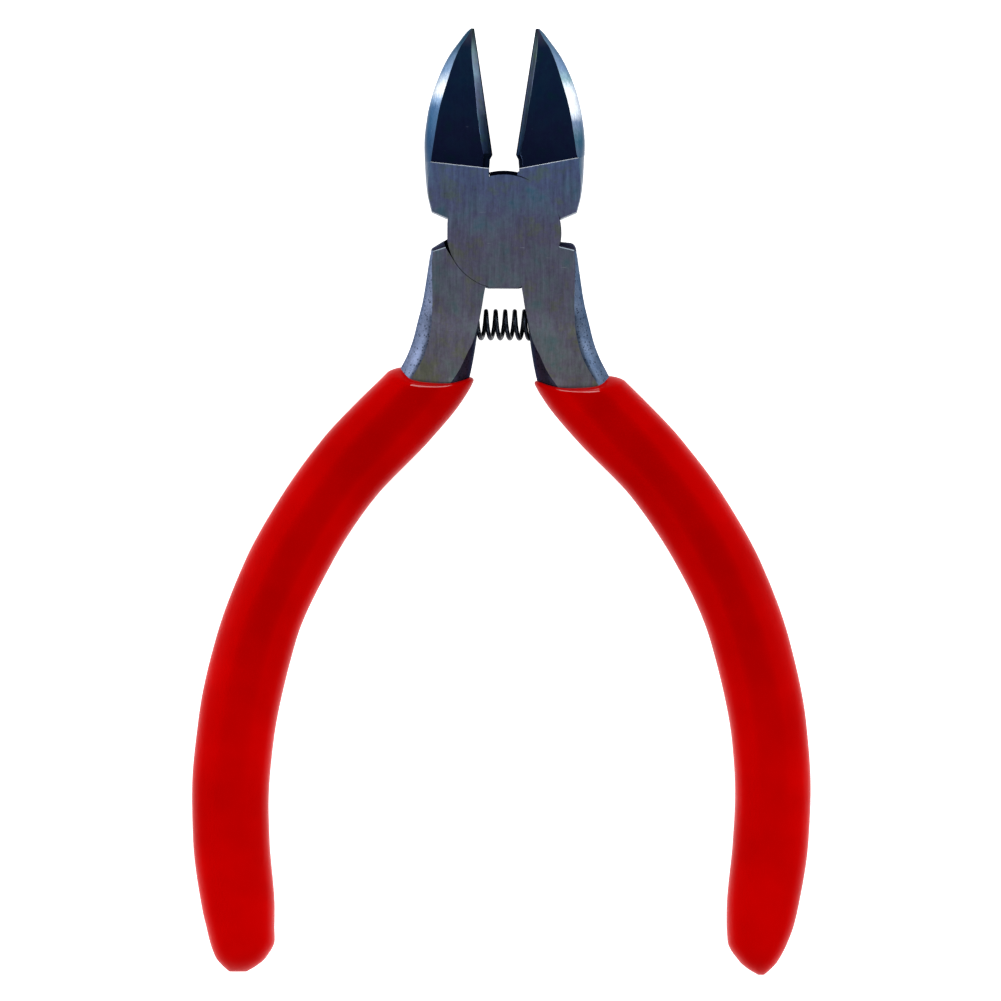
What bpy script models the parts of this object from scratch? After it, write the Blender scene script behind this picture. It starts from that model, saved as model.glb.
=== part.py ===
"""Small spring-loaded diagonal cutting pliers, shown open and lying flat.

The pivot axis is the Z axis, the jaws point along +Y and the pliers rest on z = 0.
Two steel levers cross in a lap joint: each has a half-thickness disc at the pivot, a
full-thickness jaw on one side and a full-thickness tang on the other side.
Dimensions are in millimetres, and skin() turns them into metres.
"""
import math

import bmesh
import bpy
import numpy as np
from mathutils import Vector

MM = 0.001

# Joint
THICKNESS = 9.0
LAP_GAP = 0.3
DISC_RADIUS = 7.41
DISC_FLATS_X = (-7.33, 7.41)
DISC_FLAT_Y = -7.22
DISC_CLEARANCE = 0.25
WEB_RADIUS = 8.1
WEB_SECTOR = (60.0, 103.0)
WEB_CUT_SECTOR = (77.0, 110.0)
WEB_SWEEP_SECTOR = (66.0, 121.0)
ARC_STEP = 5.0
CUT_MARGIN = 1.0

# Pivot rivet, with a countersunk head at each face
RIVET_RADIUS = 2.5
RIVET_HEAD_RADIUS = 3.6
RIVET_HEAD_DEPTH = 1.1
RIVET_CLEARANCE = 0.15
RIVET_SIDES = 32

# Jaws: curves are (y, x) points of the jaw on the +X side
JAW_OUTER = ((2.6, 9.35), (5.0, 9.92), (8.0, 10.2), (11.5, 10.33), (15.0, 9.98), (18.0, 9.3),
             (21.0, 8.2), (23.0, 7.2), (25.0, 5.8), (26.0, 5.05), (26.5, 4.55))
JAW_RIDGE = ((2.6, 8.9), (5.0, 9.4), (9.0, 9.55), (12.0, 9.1), (16.0, 8.43), (20.0, 7.3),
             (24.0, 5.85), (25.5, 5.0), (26.5, 4.35))
JAW_BEVEL = ((8.0, 2.3), (11.0, 2.65), (15.0, 3.25), (18.0, 3.65), (21.0, 4.1), (24.0, 4.6),
             (25.5, 4.65), (26.5, 4.15))
JAW_BACK = ((2.0, 0.0), (7.0, 0.0), (12.0, 0.25), (20.0, 1.3), (26.5, 2.6))
JAW_RELIEF = ((8.0, 0.05), (10.1, 1.2), (18.0, 1.1), (26.5, 0.25))
THROAT_X = 1.95
THROAT_TOP_Y = 9.3
EDGE_ROOT = (10.1, 1.62)
EDGE_TIP = (26.5, 4.0)
EDGE_ROOT_Z = 3.6
EDGE_TIP_Z = 4.5
FACET_ORIGIN = (9.3, 10.0, 8.78)
FACET_RISE_X = 0.537
FACET_FALL_Y = 0.054
STEP_INNER = (2.0, 8.15)
STEP_SLOPE = 0.11
STEP_RUN = 0.05
STEP_SECTION_Y = 8.6
SHOULDER_INNER = (7.5, 1.8)
SHOULDER_SLOPE = 0.43
ROOT_STAGES = ((2.6, 5.0), (4.5, 3.6), (6.9, THROAT_X))
FLANK_TOP = ((0.6, 0.12), (1.0, 0.42))
FLANK_BOTTOM = ((1.0, 0.3), (0.65, 0.08))
BLADE_STATIONS = (9.3, 10.1, 12.0, 14.0, 16.0, 18.0, 20.0, 22.0, 23.5, 24.6, 25.4, 26.0, 26.5)

# Tangs: curves are (y, x) points of the tang on the +X side, above the grip
TANG_OUTER = ((-19.5, 14.3), (-17.9, 13.4), (-16.0, 12.43), (-14.0, 11.7), (-12.0, 11.2),
              (-9.0, 10.47), (-5.7, 9.95), (-2.6, 9.5))
TANG_INNER = ((-19.5, 4.85), (-18.0, 4.15), (-15.0, 3.62), (-12.0, 3.2), (-9.0, 2.68),
              (-6.9, 2.45))
TANG_OUTER_BEVEL = ((-19.5, 12.2), (-18.0, 11.2), (-16.0, 10.2), (-13.0, 9.4), (-9.0, 9.2),
                    (-2.6, 9.1))
TANG_INNER_BEVEL = ((-19.5, 6.6), (-17.0, 5.1), (-15.0, 4.1), (-12.0, 3.35), (-6.9, 2.6))
TANG_FACE = ((-19.5, 7.9), (-14.0, 8.5), (-9.0, 9.0), (-2.6, 9.0))
TANG_STATIONS = (-9.0, -11.0, -13.0, -15.0, -17.0, -18.4, -19.5)
HEEL_STAGES = ((-2.6, 5.0), (-4.5, 3.6))
TANG_TOP_Y = -6.9
TANG_THICKNESS = 6.8
TANG_END_Y = -87.0
BEVEL_DROP = 2.2
BEVEL_SHAPE = (0.65, 0.4)
BURIED_BEVEL = 0.16
SHOULDER_STAGES = ((-1.3, 8.9, 2.5), (-1.7, 9.3, 1.2))
SHOULDER_BEVEL = 0.4
SHOULDER_DROP = 1.0
HEEL_BEVEL = 0.3

# Grips: curves are (y, x) points of the grip on the +X side
GRIP_OUTER = ((-96.3, 34.6), (-95.6, 35.4), (-94.6, 36.3), (-92.0, 37.5), (-88.0, 38.6),
              (-79.0, 39.9), (-72.5, 40.1), (-63.4, 39.4), (-53.0, 37.2), (-42.6, 33.35),
              (-34.8, 29.0), (-27.0, 23.35), (-21.8, 18.46), (-19.2, 15.8), (-18.0, 14.6))
GRIP_INNER = ((-96.3, 33.4), (-95.6, 32.2), (-94.6, 31.0), (-92.0, 29.55), (-88.0, 29.45),
              (-79.0, 30.2), (-74.0, 30.42), (-66.0, 29.85), (-53.0, 27.0), (-42.6, 22.23),
              (-34.8, 17.0), (-27.0, 9.62), (-21.8, 5.4), (-19.2, 3.95), (-18.0, 3.6))
GRIP_THICKNESS = 9.0
GRIP_WALL = 1.2
GRIP_FIT = 0.25
GRIP_ROUNDING = 2.6
GRIP_END_Y = -96.3
GRIP_DOME_Y = -91.5
GRIP_DOME_TIP = 0.35
GRIP_STATIONS = (-21.8, -27.0, -33.0, -40.0, -48.0, -57.0, -66.0, -75.0, -83.0, -88.0, -91.5,
                 -93.6, -95.2, -96.3)
BURIED_STATIONS = (-22.5, -27.0, -33.0, -40.0, -48.0, -57.0, -66.0, -75.0, -82.0, -87.0)
CAVITY_END_GAP = 0.6
MOUTH_INNER = (4.0, -19.35)
MOUTH_SLOPE = 0.11
CAVITY_MOUTH_Y = -19.3
LIP_Y = -19.0
RIM_Y = -19.2
LIP_ROUND = 0.5
GRIP_SIDES = 16

# Return spring, lying along X between blind seats in the tangs
SPRING_Y = -12.0
SPRING_DIAMETER = 4.2
SPRING_WIRE = 0.7
SPRING_TURNS = 8.0
SPRING_POINTS_PER_TURN = 14
SEAT_RADIUS = 2.45
SEAT_START_X = 0.5
SEAT_BOTTOM_X = 5.2
SEAT_SIDES = 24
SPRING_END_GAP = 0.15

# Finishes: colour, roughness, metallic
LEVER_STEEL = ((0.10, 0.12, 0.16), 0.35, 1.0)
RIVET_STEEL = ((0.10, 0.12, 0.16), 0.3, 1.0)
SPRING_STEEL = ((0.02, 0.02, 0.022), 0.4, 1.0)
RED_VINYL = ((0.60, 0.0, 0.0), 0.25, 0.0)
SHARP_ANGLE = {"rivet": 30.0, "grip": 50.0}


def smooth_curve(points):
    """Return x(y), a smooth curve through (y, x) points that never overshoots them."""
    ordered = sorted(points)
    ys = np.array([point[0] for point in ordered])
    xs = np.array([point[1] for point in ordered])
    secants = np.diff(xs) / np.diff(ys)
    slopes = np.zeros(len(xs))
    slopes[0] = secants[0]
    slopes[-1] = secants[-1]
    for i in range(1, len(xs) - 1):
        before, after = secants[i - 1], secants[i]
        if before * after > 0.0:
            slopes[i] = 2.0 * before * after / (before + after)

    def evaluate(y):
        i = int(np.clip(np.searchsorted(ys, y) - 1, 0, len(secants) - 1))
        width = ys[i + 1] - ys[i]
        t = (y - ys[i]) / width
        start = (1 + 2 * t) * (1 - t) ** 2 * xs[i] + t * (1 - t) ** 2 * width * slopes[i]
        end = t * t * (3 - 2 * t) * xs[i + 1] + t * t * (t - 1) * width * slopes[i + 1]
        return float(start + end)

    return evaluate


jaw_outer = smooth_curve(JAW_OUTER)
jaw_ridge = smooth_curve(JAW_RIDGE)
jaw_bevel = smooth_curve(JAW_BEVEL)
jaw_back = smooth_curve(JAW_BACK)
jaw_relief = smooth_curve(JAW_RELIEF)
tang_outer = smooth_curve(TANG_OUTER)
tang_inner = smooth_curve(TANG_INNER)
tang_outer_bevel = smooth_curve(TANG_OUTER_BEVEL)
tang_inner_bevel = smooth_curve(TANG_INNER_BEVEL)
tang_face = smooth_curve(TANG_FACE)
grip_outer = smooth_curve(GRIP_OUTER)
grip_inner = smooth_curve(GRIP_INNER)


def skin(rings):
    """Skin a row of equal rings into one closed body, in metres, with a cap at each end."""
    bm = bmesh.new()
    loops = [[bm.verts.new(Vector(point) * MM) for point in ring] for ring in rings]
    for first, second in zip(loops, loops[1:]):
        for i in range(len(first)):
            j = (i + 1) % len(first)
            bm.faces.new((first[i], first[j], second[j], second[i]))
    bm.faces.new(loops[0])
    bm.faces.new(loops[-1])
    bmesh.ops.recalc_face_normals(bm, faces=bm.faces)
    return bm


def make_material(name, finish):
    colour, roughness, metallic = finish
    material = bpy.data.materials.new(name)
    material.use_nodes = True
    shader = material.node_tree.nodes["Principled BSDF"]
    shader.inputs["Base Color"].default_value = (*colour, 1.0)
    shader.inputs["Roughness"].default_value = roughness
    shader.inputs["Metallic"].default_value = metallic
    return material


def make_object(name, bm, material=None):
    mesh = bpy.data.meshes.new(name)
    bm.to_mesh(mesh)
    bm.free()
    if material:
        mesh.materials.append(material)
    obj = bpy.data.objects.new(name, mesh)
    bpy.context.collection.objects.link(obj)
    return obj


def make_helper(name, bm):
    """Make an object that only takes part in booleans."""
    helper = make_object(name, bm)
    helper.hide_render = True
    helper.display_type = "WIRE"
    return helper


def add_boolean(obj, helper, operation):
    boolean = obj.modifiers.new(helper.name, "BOOLEAN")
    boolean.object = helper
    boolean.operation = operation
    boolean.solver = "EXACT"


def smooth_shading(obj, angle_deg):
    obj.data.shade_smooth()
    obj.data.set_sharp_from_angle(angle=math.radians(angle_deg))


def arc(radius, start_deg, end_deg):
    steps = max(1, round((end_deg - start_deg) / ARC_STEP))
    angles = [math.radians(start_deg + (end_deg - start_deg) * i / steps) for i in range(steps + 1)]
    return [(radius * math.cos(angle), radius * math.sin(angle)) for angle in angles]


def stepped_disc(radius, raised_radius, sector):
    """Outline of a disc whose radius is larger inside one sector."""
    start, end = sector
    return arc(raised_radius, start, end) + arc(radius, end, start + 360.0)


def milled(outline):
    """Flatten the sides and the bottom of the joint, seen between the jaws and the tangs."""
    left, right = DISC_FLATS_X
    return [(min(max(x, left), right), max(y, DISC_FLAT_Y)) for x, y in outline]


def prism(outline, low, high):
    return skin([[(x, y, z) for x, y in outline] for z in (low, high)])


def turned(profile, sides):
    """Turn (radius, z) points about the Z axis."""
    angles = [2.0 * math.pi * i / sides for i in range(sides)]
    return skin([[(r * math.cos(a), r * math.sin(a), z) for a in angles] for r, z in profile])


def facet_height(x, y):
    """Height of the sloping front facet of a jaw."""
    return FACET_ORIGIN[2] + FACET_RISE_X * (x - FACET_ORIGIN[0]) - FACET_FALL_Y * (y - FACET_ORIGIN[1])


def edge_x(y):
    ys = (STEP_INNER[1], THROAT_TOP_Y, EDGE_ROOT[0], EDGE_TIP[0])
    return float(np.interp(y, ys, (THROAT_X, THROAT_X, EDGE_ROOT[1], EDGE_TIP[1])))


def edge_z(y):
    return float(np.interp(y, (EDGE_ROOT[0], EDGE_TIP[0]), (EDGE_ROOT_Z, EDGE_TIP_Z)))


def flank(ridge, outer, top, bottom):
    """Rounded outer side of a jaw, as (x, z) points from the front face to the back face."""
    width = outer - ridge
    height = top - bottom
    points = [(ridge, top)]
    points += [(ridge + across * width, top - down * height) for across, down in FLANK_TOP]
    points += [(ridge + across * width, bottom + up * height) for across, up in FLANK_BOTTOM]
    points.append((ridge, bottom))
    return points


def root_ring(side, y_of_x, y, inner):
    """Full-thickness section of a jaw between its shoulder and the step to the facet."""
    points = [(inner, THICKNESS / 2), (inner, THICKNESS)]
    points += flank(jaw_ridge(y), jaw_outer(y), THICKNESS, 0.0)
    points += [(inner, 0.0)]
    return [(side * x, y_of_x(x), z) for x, z in points]


def blade_ring(side, y_of_x, y):
    """Section of a jaw's blade: edge, bevel, front facet, rounded flank, back and relief."""
    bevel = jaw_bevel(y)
    ridge = jaw_ridge(y)
    points = [(edge_x(y), edge_z(y)), (bevel, facet_height(bevel, y))]
    points += flank(ridge, jaw_outer(y), facet_height(ridge, y), jaw_back(y))
    points += [(edge_x(y) + jaw_relief(y), jaw_back(y))]
    return [(side * x, y_of_x(x), z) for x, z in points]


def step_line(x, offset=0.0):
    return STEP_INNER[1] + STEP_SLOPE * (x - STEP_INNER[0]) + offset


def shoulder_line(x):
    return SHOULDER_INNER[1] + SHOULDER_SLOPE * (x - SHOULDER_INNER[0])


def jaw_mesh(side):
    first, *others = ROOT_STAGES
    rings = [root_ring(side, shoulder_line, *first)]
    rings += [root_ring(side, lambda x, y=y: y, y, inner) for y, inner in others]
    rings.append(root_ring(side, step_line, STEP_SECTION_Y, THROAT_X))
    rings.append(blade_ring(side, lambda x: step_line(x, STEP_RUN), STEP_SECTION_Y + STEP_RUN))
    rings += [blade_ring(side, lambda x, y=y: y, y) for y in BLADE_STATIONS if y > THROAT_TOP_Y]
    return skin(rings)


def bar_ring(side, y_of_x, inner, outer, inner_bevel, outer_bevel, low, high, drop=BEVEL_DROP):
    """Section of a tang: flat front and back faces with a bevel along each side."""
    middle = (low + high) / 2
    half = (high - low) / 2
    across, down = BEVEL_SHAPE
    upper = [
        (inner, 0.0),
        (inner, half - drop),
        (inner_bevel + across * (inner - inner_bevel), half - down * drop),
        (inner_bevel, half),
        ((inner_bevel + outer_bevel) / 2, half),
        (outer_bevel, half),
        (outer_bevel + across * (outer - outer_bevel), half - down * drop),
        (outer, half - drop),
        (outer, 0.0),
    ]
    lower = [(x, -z) for x, z in reversed(upper[1:-1])]
    return [(side * x, y_of_x(x), middle + z) for x, z in upper + lower]


def perpendicular_offset(curve, y, distance):
    """Distance along X that moves a curve by the given distance across its own direction."""
    reach = 0.5
    slope = (curve(y + reach) - curve(y - reach)) / (2.0 * reach)
    return distance * math.hypot(1.0, slope)


def buried_ring(side, y, growth, y_of_x=None):
    """Section of the tang inside the grip, or of the grip's cavity where growth is above 0."""
    inset = GRIP_WALL + GRIP_FIT
    inner = grip_inner(y) + perpendicular_offset(grip_inner, y, inset) - growth
    outer = grip_outer(y) - perpendicular_offset(grip_outer, y, inset) + growth
    bevel = BURIED_BEVEL * (outer - inner)
    low = (THICKNESS - TANG_THICKNESS) / 2 - growth
    return bar_ring(side, y_of_x or (lambda x: y), inner, outer, inner + bevel, outer - bevel,
                    low, THICKNESS - low)


def tang_ring(side, y, growth=0.0, y_of_x=None):
    """Section of the tang above the grip."""
    low = THICKNESS - tang_face(y) - growth
    return bar_ring(side, y_of_x or (lambda x: y), tang_inner(y) - growth, tang_outer(y) + growth,
                    tang_inner_bevel(y), tang_outer_bevel(y), low, THICKNESS - low)


def tang_mesh(side):
    heel = HEEL_STAGES[0][1]
    rings = []
    for y, outer, inset in SHOULDER_STAGES:
        rings.append(bar_ring(side, lambda x, y=y: y, heel, outer, heel + HEEL_BEVEL,
                              outer - SHOULDER_BEVEL, inset, THICKNESS - inset, SHOULDER_DROP))
    for y, inner in HEEL_STAGES:
        rings.append(bar_ring(side, lambda x, y=y: y, inner, tang_outer(y), inner + HEEL_BEVEL,
                              tang_outer_bevel(y), 0.0, THICKNESS))
    rings += [tang_ring(side, y) for y in (TANG_TOP_Y, *TANG_STATIONS)]
    rings += [buried_ring(side, y, 0.0) for y in BURIED_STATIONS]
    return skin(rings)


def rivet_hole_mesh():
    gap = RIVET_CLEARANCE
    shaft = RIVET_RADIUS + gap
    head = RIVET_HEAD_RADIUS + gap
    depth = RIVET_HEAD_DEPTH
    return turned([(head + CUT_MARGIN, -CUT_MARGIN), (head, 0.0), (shaft, depth),
                   (shaft, THICKNESS - depth), (head, THICKNESS),
                   (head + CUT_MARGIN, THICKNESS + CUT_MARGIN)], RIVET_SIDES)


def seat_mesh(side):
    angles = [2.0 * math.pi * i / SEAT_SIDES for i in range(SEAT_SIDES)]
    return skin([[(side * x, SPRING_Y + SEAT_RADIUS * math.cos(a),
                   THICKNESS / 2 + SEAT_RADIUS * math.sin(a)) for a in angles]
                 for x in (SEAT_START_X, SEAT_BOTTOM_X)])


def lever(name, jaw_side, disc_radius, cut_sector, cut_low, cut_high, material):
    """One lever: disc, jaw and tang joined, less the other lever's half of the joint."""
    disc = milled(stepped_disc(DISC_RADIUS, disc_radius, WEB_SECTOR))
    obj = make_object(name, prism(disc, 0.0, THICKNESS), material)
    jaw = make_helper(name + "_jaw_shape", jaw_mesh(jaw_side))
    tang = make_helper(name + "_tang_shape", tang_mesh(-jaw_side))
    room = stepped_disc(DISC_RADIUS + DISC_CLEARANCE, WEB_RADIUS + DISC_CLEARANCE, cut_sector)
    cut = make_helper(name + "_lap_cut", prism(room, cut_low, cut_high))
    hole = make_helper(name + "_rivet_hole", rivet_hole_mesh())
    seat = make_helper(name + "_spring_seat", seat_mesh(-jaw_side))
    for helper in (jaw, tang):
        add_boolean(obj, helper, "UNION")
    for helper in (cut, hole, seat):
        add_boolean(obj, helper, "DIFFERENCE")
    return obj


def make_levers(material):
    half = THICKNESS / 2
    front = lever("front_lever", -1, DISC_RADIUS, WEB_SWEEP_SECTOR,
                  -CUT_MARGIN, half + LAP_GAP / 2, material)
    back = lever("back_lever", 1, WEB_RADIUS, WEB_CUT_SECTOR,
                 half - LAP_GAP / 2, THICKNESS + CUT_MARGIN, material)
    return front, back


def make_rivet(material):
    depth = RIVET_HEAD_DEPTH
    profile = [(RIVET_HEAD_RADIUS, 0.0), (RIVET_RADIUS, depth),
               (RIVET_RADIUS, THICKNESS - depth), (RIVET_HEAD_RADIUS, THICKNESS)]
    rivet = make_object("pivot_rivet", turned(profile, RIVET_SIDES), material)
    smooth_shading(rivet, SHARP_ANGLE["rivet"])
    return rivet


def make_spring(material):
    """Compression spring as a bevelled helix between the two seat bottoms."""
    length = 2.0 * (SEAT_BOTTOM_X - SPRING_END_GAP) - SPRING_WIRE
    radius = (SPRING_DIAMETER - SPRING_WIRE) / 2
    count = int(SPRING_TURNS * SPRING_POINTS_PER_TURN)
    curve = bpy.data.curves.new("return_spring", "CURVE")
    curve.dimensions = "3D"
    curve.bevel_depth = SPRING_WIRE / 2 * MM
    curve.bevel_resolution = 1
    curve.use_fill_caps = True
    spline = curve.splines.new("POLY")
    spline.points.add(count)
    for i, point in enumerate(spline.points):
        angle = 2.0 * math.pi * SPRING_TURNS * i / count
        x = length * (i / count - 0.5)
        y = SPRING_Y + radius * math.cos(angle)
        z = THICKNESS / 2 + radius * math.sin(angle)
        point.co = (x * MM, y * MM, z * MM, 1.0)
    curve.materials.append(material)
    spring = bpy.data.objects.new("return_spring", curve)
    bpy.context.collection.objects.link(spring)
    return spring


def grip_ring(side, y, y_of_x=None, shrink=0.0):
    """Rounded outer section of a grip; it shrinks in height towards the domed end."""
    inner = grip_inner(y) + shrink
    outer = grip_outer(y) - shrink
    half_height = GRIP_THICKNESS / 2 - shrink
    if y < GRIP_DOME_Y:
        t = (GRIP_DOME_Y - y) / (GRIP_DOME_Y - GRIP_END_Y)
        half_height *= max(GRIP_DOME_TIP, math.sqrt(1.0 - t * t))
    ring = []
    for i in range(GRIP_SIDES):
        angle = math.pi - 2.0 * math.pi * i / GRIP_SIDES
        c, s = math.cos(angle), math.sin(angle)
        u = math.copysign(abs(c) ** (2.0 / GRIP_ROUNDING), c)
        w = math.copysign(abs(s) ** (2.0 / GRIP_ROUNDING), s)
        x = (inner + outer) / 2 + u * (outer - inner) / 2
        ring.append((side * x, y_of_x(x) if y_of_x else y, THICKNESS / 2 + w * half_height))
    return ring


def mouth_line(x, offset=0.0):
    """Height of the grip's mouth, which climbs towards the outer side."""
    return MOUTH_INNER[1] + MOUTH_SLOPE * (x - MOUTH_INNER[0]) + offset


def make_grip(name, side, material):
    """Dipped sleeve, open at its mouth: up the cavity, over the lip and down the outside."""
    rings = [buried_ring(side, TANG_END_Y - CAVITY_END_GAP, GRIP_FIT)]
    rings += [buried_ring(side, y, GRIP_FIT) for y in reversed(BURIED_STATIONS[:-1])]
    rings.append(tang_ring(side, CAVITY_MOUTH_Y, GRIP_FIT, mouth_line))
    rings.append(grip_ring(side, LIP_Y, mouth_line, LIP_ROUND))
    rings.append(grip_ring(side, RIM_Y, lambda x: mouth_line(x, -LIP_ROUND)))
    rings += [grip_ring(side, y) for y in GRIP_STATIONS]
    grip = make_object(name, skin(rings), material)
    smooth_shading(grip, SHARP_ANGLE["grip"])
    return grip


def clear_scene():
    for obj in list(bpy.data.objects):
        bpy.data.objects.remove(obj, do_unlink=True)


def main():
    clear_scene()
    front, back = make_levers(make_material("front_lever_steel", LEVER_STEEL))
    back.data.materials[0] = make_material("back_lever_steel", LEVER_STEEL)
    make_rivet(make_material("rivet_steel", RIVET_STEEL)).parent = front
    make_spring(make_material("spring_steel", SPRING_STEEL)).parent = front
    make_grip("right_grip", 1, make_material("right_grip_vinyl", RED_VINYL)).parent = front
    make_grip("left_grip", -1, make_material("left_grip_vinyl", RED_VINYL)).parent = back


main()
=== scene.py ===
"""Looks for the small spring-loaded diagonal cutting pliers.

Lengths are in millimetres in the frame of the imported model: the pivot axis is Z, the jaws
point along +Y and the pliers lie on z = 0. skin() turns them into metres.
"""
import math

import bmesh
import bpy
import numpy as np
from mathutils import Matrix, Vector, noise


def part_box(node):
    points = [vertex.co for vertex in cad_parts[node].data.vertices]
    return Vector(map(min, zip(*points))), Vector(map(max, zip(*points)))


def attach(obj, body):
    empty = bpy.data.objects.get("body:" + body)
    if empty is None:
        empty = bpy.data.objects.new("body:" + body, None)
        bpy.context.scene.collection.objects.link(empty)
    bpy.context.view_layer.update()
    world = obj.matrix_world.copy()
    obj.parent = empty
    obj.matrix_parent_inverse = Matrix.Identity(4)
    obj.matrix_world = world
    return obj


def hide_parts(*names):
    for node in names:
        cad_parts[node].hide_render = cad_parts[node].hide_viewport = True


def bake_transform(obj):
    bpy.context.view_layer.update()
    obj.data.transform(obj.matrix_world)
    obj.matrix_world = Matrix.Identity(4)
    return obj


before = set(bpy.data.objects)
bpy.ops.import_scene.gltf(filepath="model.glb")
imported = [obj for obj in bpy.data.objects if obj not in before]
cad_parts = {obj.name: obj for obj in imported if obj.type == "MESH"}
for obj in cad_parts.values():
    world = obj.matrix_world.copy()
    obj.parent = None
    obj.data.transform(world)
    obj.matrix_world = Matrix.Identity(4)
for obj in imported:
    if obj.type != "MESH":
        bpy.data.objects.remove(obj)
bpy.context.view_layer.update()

MM = 0.001
FRONT_BODY = "front_half"
BACK_BODY = "back_half"

# Sizes read from the frame
LEVER_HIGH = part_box("front_lever")[1]
THICKNESS = LEVER_HIGH.z / MM
MIDDLE = THICKNESS / 2
TIP_Y = LEVER_HIGH.y / MM
GRIP_LOW, GRIP_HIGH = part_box("right_grip")
GRIP_END_Y = GRIP_LOW.y / MM
GRIP_HALF_HEIGHT = (GRIP_HIGH.z - GRIP_LOW.z) / MM / 2
SPRING_LOW, SPRING_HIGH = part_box("return_spring")
SPRING_Y = (SPRING_LOW.y + SPRING_HIGH.y) / MM / 2
SPRING_REACH = SPRING_HIGH.x / MM
RIVET_HEAD_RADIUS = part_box("pivot_rivet")[1].x / MM

# Joint; LAP_LINE gives the gap beside the other lever's disc, by degrees round the pivot
LAP_GAP = 0.12
DISC_RADIUS = 7.41
BACK_DISC_RADIUS = 7.5
DISC_FLATS_X = (-7.33, 7.5)
DISC_FLAT_Y = -7.22
LAP_LINE = {-1: ((0.0, 0.2), (360.0, 0.2)),
            1: ((0.0, 0.2), (12.0, 0.2), (14.5, 0.08), (18.0, 0.003), (63.0, 0.003), (68.0, 0.06),
                (72.0, 0.12), (150.0, 0.12), (184.0, 0.46), (194.0, 0.46), (202.0, 0.2),
                (208.0, 0.08), (240.0, 0.06), (254.0, 0.06), (260.0, 0.2), (360.0, 0.2))}
WEB_RADIUS = 8.05
WEB_SECTOR = (60.0, 104.3)
WEB_CUT_SECTOR = (77.0, 110.0)
WEB_SWEEP_SECTOR = (66.0, 122.5)
ARC_STEP = 1.5
RIM_CHAMFER = 0.005
CUT_MARGIN = 1.0
RIVET_RADIUS = 2.5
RIVET_HEAD_DEPTH = 1.1
RIVET_CLEARANCE = 0.003
RIVET_SIDES = 96

# Jaws: curves are (y, x) points of the jaw on the +X side; {-1: ..., 1: ...} is {left, right}
JAW_OUTER = ((2.6, 9.35), (5.0, 9.92), (8.0, 10.2), (11.5, 10.33), (15.0, 9.98), (18.0, 9.3),
             (21.0, 8.2), (23.0, 7.2), (25.0, 5.8), (26.0, 5.05), (26.5, 4.55))
JAW_RIDGE = ((8.0, 9.6), (9.5, 9.45), (12.0, 9.1), (16.0, 8.43), (20.0, 7.3), (22.0, 6.65),
             (24.0, 5.8), (25.3, 4.95), (26.5, 4.35))
JAW_BACK = ((2.0, 0.0), (7.0, 0.0), (12.0, 0.25), (20.0, 1.3), (26.5, 2.6))
JAW_RELIEF = ((8.0, 0.05), (10.1, 1.2), (18.0, 1.1), (26.5, 0.25))
BEVEL_WIDTH = {-1: ((8.0, 0.5), (11.0, 1.25), (15.0, 1.2), (19.0, 1.0), (23.0, 0.85), (25.3, 0.5),
                    (26.5, 0.18)),
               1: ((8.0, 0.35), (11.0, 0.62), (15.0, 0.72), (19.0, 0.72), (23.0, 0.68), (25.3, 0.5),
                   (26.5, 0.18))}
THROAT_X = 1.95
THROAT_TOP_Y = 9.3
ROOT_FOOT_X = 5.0
ROOT_STAGES = ((3.2, 4.6), (3.9, 4.2), (4.6, 3.6), (5.4, 3.0), (6.2, 2.4), (6.9, THROAT_X),
               (7.6, THROAT_X))
ROOT_END_Y = 8.9
JAW_GROWTH = {-1: 0.08, 1: 0.16}
JAW_GROWTH_FADE = 8.0
EDGE_ROOT = (10.1, 1.52)
EDGE_TIP = (26.5, 3.975)
EDGE_ROOT_Z = 3.6
EDGE_TIP_Z = 4.5
FACET_ORIGIN = (9.3, 10.0, 8.78)
FACET_RISE_X = 0.537
FACET_FALL_Y = 0.054
STEP_INNER = (2.0, 8.15)
STEP_SLOPE = {-1: 0.105, 1: 0.19}
STEP_RUN = 0.12
STEP_FOOT_Y = 9.0
STEP_STAGES = (9.5, 10.1)
STEP_CLEARANCE = 0.35
STEP_RIM = 0.08
LAND_WIDTH = 0.14
LAND_RISE = 0.45
LAND_SHARE = 0.3
LEAST_FACET = 0.12
SHOULDER_INNER = (7.5, 1.8)
SHOULDER_SLOPE = 0.43
ROOT_EDGE = ((2.6, 0.12), (4.5, 0.14), (6.5, 0.3), (8.0, 0.62), (8.9, 0.78))
FLANK_START = math.radians(45.0)
FLANK_TOP_SHARE = 0.55
FLANK_BOTTOM_SHARE = 0.3
FLANK_STEPS = 8
BLADE_START_Y = EDGE_ROOT[0] + 0.25
BLADE_STEPS = 44

# Tangs: curves are (y, x) points of the tang on the +X side, above the grip
TANG_OUTER = ((-21.5, 15.9), (-19.5, 14.3), (-17.9, 13.4), (-16.0, 12.43), (-14.0, 11.7),
              (-12.0, 11.2), (-9.0, 10.47), (-5.7, 9.95), (-2.6, 9.5))
TANG_INNER = ((-21.5, 6.3), (-19.5, 4.55), (-18.0, 4.15), (-15.0, 3.62), (-12.0, 3.2),
              (-9.0, 2.68), (-7.4, 2.45), (-6.9, 2.3))
TANG_OUTER_BEVEL = ((-21.5, 13.8), (-19.5, 12.2), (-18.0, 11.2), (-16.0, 10.2), (-14.0, 9.62),
                    (-12.0, 9.28), (-9.0, 9.2), (-6.1, 9.25), (-4.0, 9.3), (-2.6, 9.1))
TANG_INNER_BEVEL = ((-21.5, 8.3), (-19.5, 6.7), (-18.0, 5.7), (-16.0, 4.75), (-14.0, 3.8),
                    (-12.0, 3.3), (-9.0, 2.72), (-6.9, 2.34))
TANG_FACE = ((-21.5, 7.8), (-19.5, 7.95), (-14.0, 8.5), (-9.0, 9.0), (-2.6, 9.0))
TANG_HEEL = 5.0
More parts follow.
